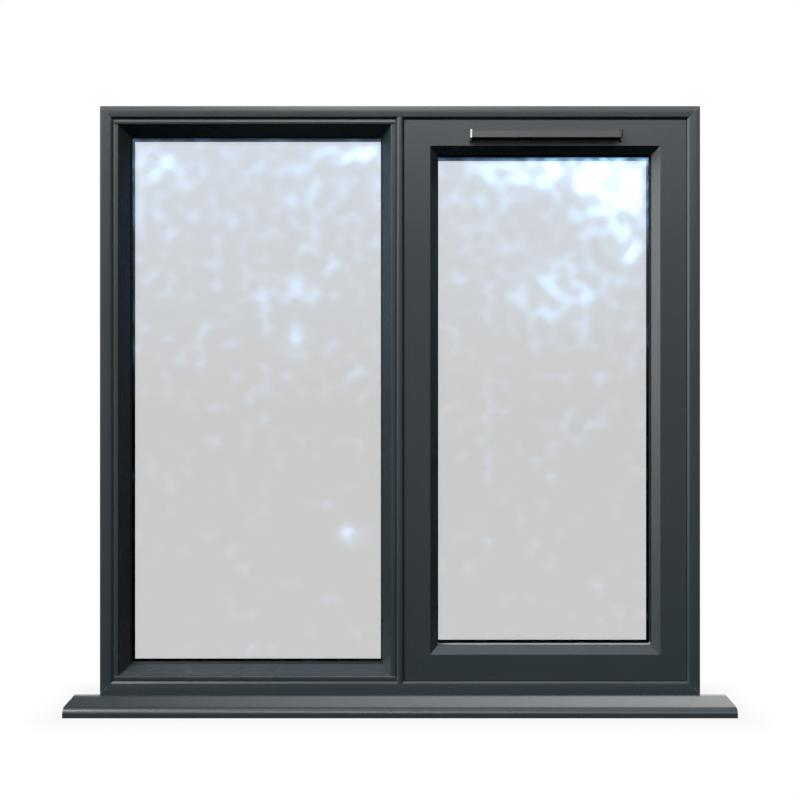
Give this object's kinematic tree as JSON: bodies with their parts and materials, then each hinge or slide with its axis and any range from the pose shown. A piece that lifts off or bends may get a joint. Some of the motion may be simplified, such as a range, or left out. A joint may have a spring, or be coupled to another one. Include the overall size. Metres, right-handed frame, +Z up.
{
  "type": "aluminium casement window",
  "caption": "Aluminium window with a fixed light, a side-hung opening sash with a ventilator canopy, sealed double glazing and a projecting sill.",
  "frame": {"origin": "middle of the window's width, on the flat underside of the sill, in the plane of the frame's foremost line", "axes": "+X to the right seen from outside, +Y into the building, +Z up"},
  "size_m": [1.3, 0.191, 1.2],
  "materials": {
    "anthracite_coat": "anthracite grey satin powder coat on extruded aluminium",
    "anthracite_plastic": "anthracite grey moulded plastic",
    "insulating_strip": "black glass-filled polyamide",
    "gasket_rubber": "black rubber gasket",
    "spacer_bar": "black warm-edge spacer",
    "pane_glass": "clear float glass with a faint grey coating",
    "handle_coat": "dark satin lacquer on a die-cast handle"
  },
  "bodies": {
    "root": {"frame_left_jamb": "anthracite_coat", "frame_head": "anthracite_coat", "frame_right_jamb": "anthracite_coat", "frame_bottom": "anthracite_coat", "mullion": "anthracite_coat", "surround_left": "anthracite_coat", "surround_top": "anthracite_coat", "surround_right": "anthracite_coat", "surround_bottom": "anthracite_coat", "trim_left": "anthracite_coat", "trim_top": "anthracite_coat", "trim_right": "anthracite_coat", "trim_bottom": "anthracite_coat", "sash_left_stile": "anthracite_coat", "sash_top_rail": "anthracite_coat", "sash_right_stile": "anthracite_coat", "sash_bottom_rail": "anthracite_coat", "fixed_beads": "anthracite_coat", "sash_beads": "anthracite_coat", "sill": "anthracite_coat", "vent_canopy": "anthracite_coat", "vent_cap_left": "anthracite_plastic", "vent_cap_right": "anthracite_plastic", "vent_controller": "anthracite_plastic", "vent_flap": "anthracite_plastic", "sill_end_cap_left": "anthracite_plastic", "sill_end_cap_right": "anthracite_plastic", "frame_thermal_breaks": "insulating_strip", "surround_thermal_breaks": "insulating_strip", "sash_thermal_breaks": "insulating_strip", "fixed_outer_gasket": "gasket_rubber", "fixed_inner_gasket": "gasket_rubber", "sash_outer_gasket": "gasket_rubber", "sash_inner_gasket": "gasket_rubber", "sash_seal": "gasket_rubber", "fixed_spacer": "spacer_bar", "sash_spacer": "spacer_bar", "fixed_outer_pane": "pane_glass", "fixed_inner_pane": "pane_glass", "sash_outer_pane": "pane_glass", "sash_inner_pane": "pane_glass", "handle_base": "handle_coat", "handle_lever": "handle_coat"}
  },
  "joints": []
}
